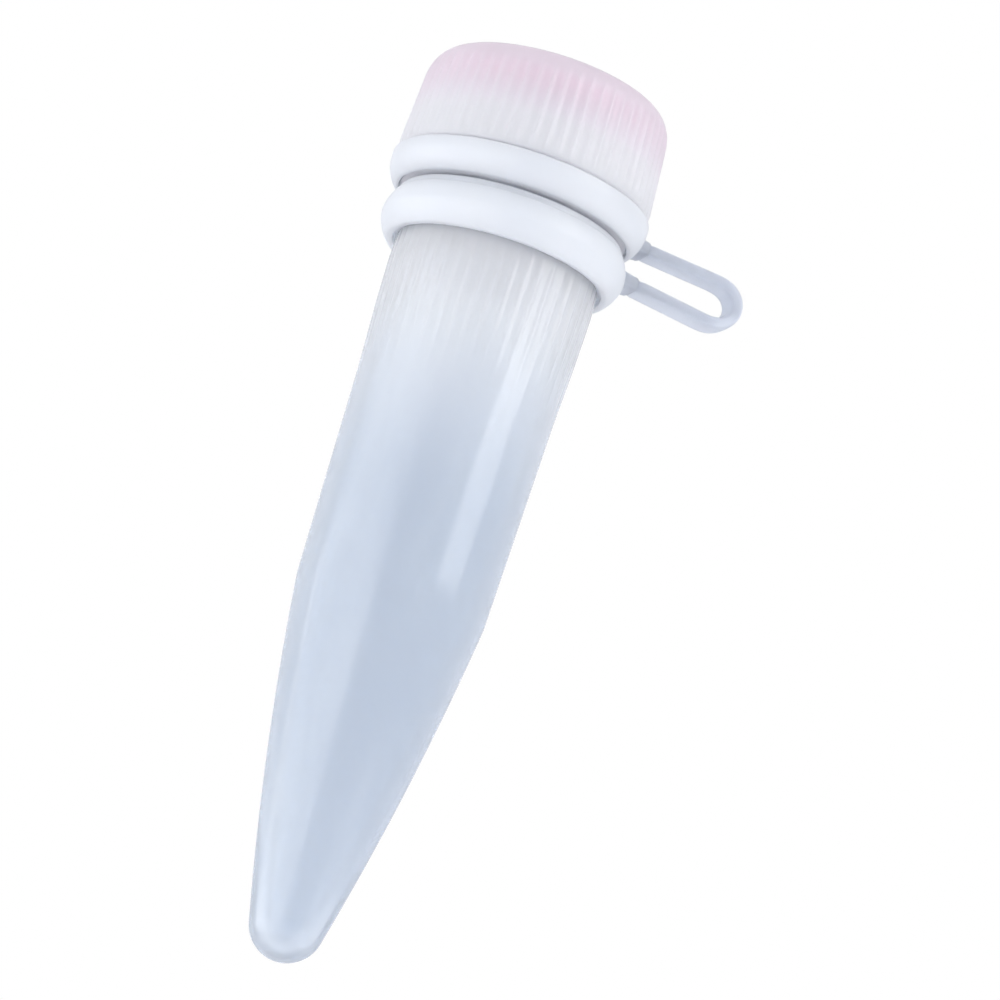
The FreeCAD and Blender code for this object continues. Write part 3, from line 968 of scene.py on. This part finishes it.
dress(tube, tube_plastic, "tube", "tube_plastic", "tube_body")
dress(cap, cap_plastic, "cap", "cap_plastic", "screw_cap")
dress(seal, seal_rubber, "seal", "seal_rubber", "o_ring")
dress(collar, ring_plastic, "tether_base", "strap_plastic", "neck_ring")
dress(collar_stub, strap_plastic, "tether_base", "strap_plastic")
dress(crown, ring_plastic, "tether_top", "strap_plastic", "cap_ring")
dress(crown_stub, strap_plastic, "tether_top", "strap_plastic")
dress(strap, strap_plastic, None, "strap_plastic", "strap_lower", "strap_upper")
pieces = (tube, cap, seal, collar, collar_stub, crown, crown_stub, strap)
print("dressed:", [piece.name for piece in pieces])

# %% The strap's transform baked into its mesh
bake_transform(strap)

# %% [markdown]
# ## Camera
#
# The tube is seen from a little below and tilted, as it would be held up to the light. A long
# lens keeps the tip and the cap at nearly the same scale. The camera's axes are worked out from
# three angles, so the tilt doesn't disturb the direction of view.

# %% Camera
AZIMUTH = math.radians(-17)
ELEVATION = math.radians(-15)
ROLL = math.radians(17.5)
DISTANCE = 0.32
VIEW_WIDTH = 48.78 * MM
AIM_HEIGHT = -11.16 * MM
AIM_SIDE = 3.6 * MM

back = Vector((
    math.sin(AZIMUTH) * math.cos(ELEVATION),
    -math.cos(AZIMUTH) * math.cos(ELEVATION),
    math.sin(ELEVATION),
))
right = Vector((math.cos(AZIMUTH), math.sin(AZIMUTH), 0))
above = back.cross(right)
aim = Vector((0, 0, AIM_HEIGHT)) + right * AIM_SIDE
lens_right = right * math.cos(ROLL) + above * math.sin(ROLL)
lens_up = above * math.cos(ROLL) - right * math.sin(ROLL)

camera_data = bpy.data.cameras.new("camera")
camera_data.sensor_width = 36
camera_data.lens = 36 * DISTANCE / VIEW_WIDTH
camera_data.clip_start = 0.01
camera_data.clip_end = 10
camera = bpy.data.objects.new("camera", camera_data)
facing = Matrix((lens_right, lens_up, back)).transposed().to_4x4()
camera.matrix_world = Matrix.Translation(aim + back * DISTANCE) @ facing
bpy.context.scene.collection.objects.link(camera)
bpy.context.scene.camera = camera
print("lens %.0f mm" % camera_data.lens)

# %% [markdown]
# ## Floor
#
# A plain pale sheet lies well below the tube and gives back some light from there.

# %% Floor
FLOOR_DROP = 0.4
FLOOR_HALF = 3.0
sheet = bpy.data.meshes.new("floor")
corners = [(-1, -1, 0), (1, -1, 0), (1, 1, 0), (-1, 1, 0)]
sheet.from_pydata([Vector(c) * FLOOR_HALF for c in corners], [], [(0, 1, 2, 3)])
floor = bpy.data.objects.new("floor", sheet)
floor.location.z = -FLOOR_DROP
bpy.context.scene.collection.objects.link(floor)
paper = bpy.data.materials.new("pale_paper")
paper.use_nodes = True
paper_shader = paper.node_tree.nodes["Principled BSDF"]
paper_shader.inputs["Base Color"].default_value = (0.9, 0.9, 0.92, 1)
paper_shader.inputs["Roughness"].default_value = 0.8
floor.data.materials.append(paper)
floor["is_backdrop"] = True
print("floor %.1f m below" % FLOOR_DROP)

# %% [markdown]
# ## Light
#
# Three large soft boxes stand round the tube. The one on the right draws the narrow streak down
# the wall, and it stands high enough that the cone, which faces lower, misses it. The left one
# gives the broad soft band, and the low one fills the right side from below.

# %% Light
LIGHT_DISTANCE = 0.5


def soft_box(name, turn, height, width, tall, watts):
    """An area light turned about the tube from the camera's azimuth, height in degrees up."""
    a = AZIMUTH + math.radians(turn)
    e = math.radians(height)
    way = Vector((math.sin(a) * math.cos(e), -math.cos(a) * math.cos(e), math.sin(e)))
    data = bpy.data.lights.new(name, "AREA")
    data.shape = "RECTANGLE"
    data.size = width
    data.size_y = tall
    data.energy = watts
    lamp = bpy.data.objects.new(name, data)
    lamp.location = way * LIGHT_DISTANCE
    lamp.rotation_mode = "QUATERNION"
    lamp.rotation_quaternion = way.to_track_quat("Z", "Y")
    lamp.visible_camera = False
    bpy.context.scene.collection.objects.link(lamp)


soft_box("right_box", turn=60, height=27, width=0.28, tall=0.36, watts=0.8)
soft_box("left_box", turn=-65, height=-12, width=1.0, tall=0.5, watts=2.1)
soft_box("low_right_box", turn=85, height=-30, width=0.9, tall=0.4, watts=0.9)
print("lights:", [light.name for light in bpy.data.lights])

# %% [markdown]
# The surroundings are a gradient from grey-blue below to white above, which gives clear plastic
# something to refract. The camera itself sees plain white. Nested clear walls need many bounces,
# or they turn dark for want of light.

# %% Surroundings
world = bpy.data.worlds.new("white_room")
bpy.context.scene.world = world
world.use_nodes = True
sky = world.node_tree
backdrop = sky.nodes["Background"]
backdrop.inputs["Strength"].default_value = 1.0
way = node(sky, "ShaderNodeTexCoord")
split = node(sky, "ShaderNodeSeparateXYZ")
lift = node(sky, "ShaderNodeMapRange", interpolation_type="SMOOTHSTEP")
lift.inputs["From Min"].default_value = -0.35
lift.inputs["From Max"].default_value = 0.55
tint = node(sky, "ShaderNodeMix", data_type="RGBA")
tint.inputs[6].default_value = (0.67, 0.73, 0.84, 1)
tint.inputs[7].default_value = (0.92, 0.93, 0.98, 1)
sky.links.new(way.outputs["Generated"], split.inputs["Vector"])
sky.links.new(split.outputs["Z"], lift.inputs["Value"])
sky.links.new(lift.outputs["Result"], tint.inputs[0])
sky.links.new(tint.outputs[2], backdrop.inputs["Color"])
white = node(sky, "ShaderNodeBackground", Color=(1, 1, 1, 1), Strength=1.0)
rays = node(sky, "ShaderNodeLightPath")
choose = node(sky, "ShaderNodeMixShader")
sky.links.new(rays.outputs["Is Camera Ray"], choose.inputs["Fac"])
sky.links.new(backdrop.outputs["Background"], choose.inputs[1])
sky.links.new(white.outputs["Background"], choose.inputs[2])
sky.links.new(choose.outputs["Shader"], sky.nodes["World Output"].inputs["Surface"])
bpy.context.scene.view_settings.view_transform = "Standard"
print("surroundings:", world.name)

# %% Bounces
cycles = bpy.context.scene.cycles
cycles.max_bounces = 32
cycles.diffuse_bounces = 12
cycles.glossy_bounces = 8
cycles.transmission_bounces = 24
print("bounces:", cycles.max_bounces)

# %% Finish
seen_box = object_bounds()
for corner, before, now in zip(("low", "high"), cad_box, seen_box):
    print("moved by mm,", corner, [round((b - a) / MM, 3) for a, b in zip(before, now)])
